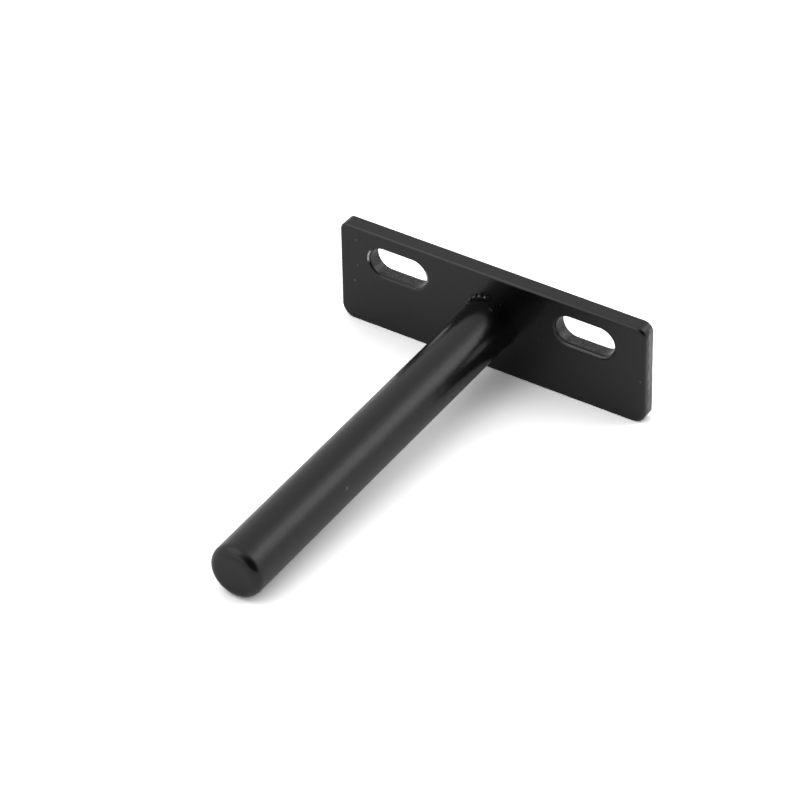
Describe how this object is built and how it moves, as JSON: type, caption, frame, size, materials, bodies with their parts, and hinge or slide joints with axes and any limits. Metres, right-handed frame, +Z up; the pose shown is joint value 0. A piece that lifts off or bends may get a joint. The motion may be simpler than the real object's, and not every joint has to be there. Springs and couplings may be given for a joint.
{
  "type": "floating shelf bracket",
  "caption": "Flat steel wall plate with long screw slots and a solid round rod welded square to its front, which fits a hole in a shelf's back edge and carries the shelf unseen.",
  "frame": {"origin": "middle of the plate's wall face, on the rod's axis", "axes": "+X along the plate, +Y into the wall, +Z up; the rod points along -Y into the shelf"},
  "size_m": [0.062, 0.083, 0.02],
  "materials": {
    "black_coat": "satin black coat over steel, thin on the slots' walls"
  },
  "bodies": {
    "root": {"wall_plate": "black_coat", "support_rod": "black_coat", "weld_bead": "black_coat"}
  },
  "joints": []
}
